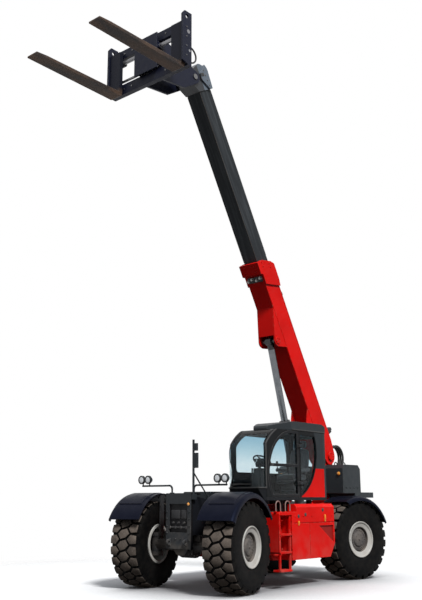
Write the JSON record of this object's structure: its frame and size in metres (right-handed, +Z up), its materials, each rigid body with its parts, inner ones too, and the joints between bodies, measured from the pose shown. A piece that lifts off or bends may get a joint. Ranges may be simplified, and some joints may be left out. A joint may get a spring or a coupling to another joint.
{
  "type": "telehandler",
  "caption": "Heavy wheeled telehandler with a raised telescopic boom, fork carriage on a levelled pin, side cab, engine bay and steered axles.",
  "frame": {"origin": "on the ground under the middle of the machine's box at rest", "axes": "+X forward, +Y to the left, +Z up"},
  "size_m": [8.9747, 3.2599, 11.1397],
  "materials": {
    "red_paint": "semi-gloss enamel with road dust",
    "charcoal_paint": "satin enamel",
    "gloss_black": "glossy moulded sheet",
    "tyre": "dusty block-tread rubber",
    "rim_grey": "light grey enamel",
    "inner_boom_black": "satin enamel with rub marks",
    "head_grey": "blue-grey enamel",
    "carriage_black": "satin enamel",
    "fork_steel": "worn forged steel",
    "chrome": "hard chrome rod",
    "steel": "machined steel",
    "glass": "tinted safety glass",
    "door_grey": "silver-grey enamel",
    "interior_black": "fabric and moulded plastic",
    "cast": "painted casting",
    "hose": "ribbed hose"
  },
  "bodies": {
    "chassis": {"chassis_frame": "red_paint", "front_frame": "charcoal_paint", "front_axle": "cast", "rear_axle": "cast", "fuel_tank": "red_paint", "access_ladder": "red_paint", "engine_block": "cast", "engine_bay": "red_paint", "counterweight": "charcoal_paint", "tow_hitch": "cast", "cab_floor": "charcoal_paint", "cab_right_wall": "charcoal_paint", "cab_rear_wall": "charcoal_paint", "cab_side_panel": "charcoal_paint", "cab_roof": "charcoal_paint", "cab_windscreen": "glass", "cab_glass": "glass", "operator_seat": "interior_black", "control_console": "interior_black", "work_lamps": "charcoal_paint", "marker_pole": "charcoal_paint", "hose_loop": "hose"},
    "knuckle_fl": {"knuckle_fl": "cast", "fender_fl": "gloss_black"},
    "wheel_fl": {"tyre_fl": "tyre", "rim_fl": "rim_grey"},
    "knuckle_fr": {"knuckle_fr": "cast", "fender_fr": "gloss_black"},
    "wheel_fr": {"tyre_fr": "tyre", "rim_fr": "rim_grey"},
    "knuckle_rl": {"knuckle_rl": "cast", "fender_rl": "gloss_black"},
    "wheel_rl": {"tyre_rl": "tyre", "rim_rl": "rim_grey"},
    "knuckle_rr": {"knuckle_rr": "cast", "fender_rr": "gloss_black"},
    "wheel_rr": {"tyre_rr": "tyre", "rim_rr": "rim_grey"},
    "boom": {"outer_boom": "red_paint"},
    "telescope": {"inner_boom": "inner_boom_black", "boom_head": "head_grey"},
    "level_pin": {"carriage_pin": "steel"},
    "carriage": {"fork_carriage": "carriage_black"},
    "fork_left": {"fork_left": "fork_steel"},
    "fork_right": {"fork_right": "fork_steel"},
    "lift_barrel": {"lift_barrel": "charcoal_paint"},
    "lift_rod": {"lift_rod": "chrome"},
    "door": {"door_frame": "door_grey", "door_glass": "glass"},
    "hood": {"engine_hood": "charcoal_paint"}
  },
  "joints": [
    {"name": "steer_fl", "type": "hinge", "parent": "chassis", "child": "knuckle_fl", "pos_m": [0.933, 0.88, 0.82], "axis": [0, 0, 1], "range_deg": [-41.45, 18.55]},
    {"name": "spin_fl", "type": "hinge", "parent": "knuckle_fl", "child": "wheel_fl", "pos_m": [0.88337, 1.12502, 0.82], "axis": [-0.1985, 0.9801, 0], "continuous": true},
    {"name": "steer_fr", "type": "hinge", "parent": "chassis", "child": "knuckle_fr", "pos_m": [0.933, -0.88, 0.82], "axis": [0, 0, 1], "range_deg": [-41.45, 18.55]},
    {"name": "spin_fr", "type": "hinge", "parent": "knuckle_fr", "child": "wheel_fr", "pos_m": [0.98263, -1.12502, 0.82], "axis": [-0.1985, 0.9801, 0], "continuous": true},
    {"name": "steer_rl", "type": "hinge", "parent": "chassis", "child": "knuckle_rl", "pos_m": [-3.077, 0.88, 0.82], "axis": [0, 0, 1], "range_deg": [-18.55, 41.45]},
    {"name": "spin_rl", "type": "hinge", "parent": "knuckle_rl", "child": "wheel_rl", "pos_m": [-3.02737, 1.12502, 0.82], "axis": [0.1985, 0.9801, 0], "continuous": true},
    {"name": "steer_rr", "type": "hinge", "parent": "chassis", "child": "knuckle_rr", "pos_m": [-3.077, -0.88, 0.82], "axis": [0, 0, 1], "range_deg": [-18.55, 41.45]},
    {"name": "spin_rr", "type": "hinge", "parent": "knuckle_rr", "child": "wheel_rr", "pos_m": [-3.12663, -1.12502, 0.82], "axis": [0.1985, 0.9801, 0], "continuous": true},
    {"name": "boom_lift", "type": "hinge", "parent": "chassis", "child": "boom", "pos_m": [-3.717, 0, 2.65], "axis": [0, -1, 0], "range_deg": [-64, 7]},
    {"name": "boom_extend", "type": "slide", "parent": "boom", "child": "telescope", "axis": [0.4955, 0, 0.8686], "range_m": [-3.8, 0.1]},
    {"name": "fork_level", "type": "hinge", "parent": "telescope", "child": "level_pin", "pos_m": [1.08444, 0, 10.50268], "axis": [0, 1, 0], "range_deg": [-64, 7]},
    {"name": "fork_tilt", "type": "hinge", "parent": "level_pin", "child": "carriage", "pos_m": [1.08444, 0, 10.50268], "axis": [0, 1, 0], "range_deg": [-15, 40]},
    {"name": "fork_spread_left", "type": "slide", "parent": "carriage", "child": "fork_left", "axis": [0, 1, 0], "range_m": [-0.4, 0]},
    {"name": "fork_spread_right", "type": "slide", "parent": "carriage", "child": "fork_right", "axis": [0, 1, 0], "range_m": [0, 0.4]},
    {"name": "lift_swing", "type": "hinge", "parent": "chassis", "child": "lift_barrel", "pos_m": [-2.767, 0, 1.5], "axis": [0, -1, 0], "range_deg": [-58.89, 6.45]},
    {"name": "lift_stroke", "type": "slide", "parent": "lift_barrel", "child": "lift_rod", "axis": [0.2693, 0, 0.9631], "range_m": [-1.5648, 0.172]},
    {"name": "cab_door", "type": "hinge", "parent": "chassis", "child": "door", "pos_m": [-0.97003, 1.272, 2.3], "axis": [0, 0, 1], "range_deg": [0, 95]},
    {"name": "hood_lift", "type": "hinge", "parent": "chassis", "child": "hood", "pos_m": [-1.067, -0.3523, 1.79], "axis": [-1, 0, 0], "range_deg": [0, 60]}
  ],
  "couplings": [
    {"joint": "steer_fr", "follows": "steer_fl", "ratio": 1},
    {"joint": "steer_rr", "follows": "steer_rl", "ratio": 1},
    {"joint": "fork_level", "follows": "boom_lift", "ratio": 1},
    {"joint": "fork_spread_right", "follows": "fork_spread_left", "ratio": -1},
    {"joint": "lift_swing", "follows": "boom_lift", "ratio": 0.92},
    {"joint": "lift_stroke", "follows": "boom_lift", "m_per_rad": 1.4}
  ]
}
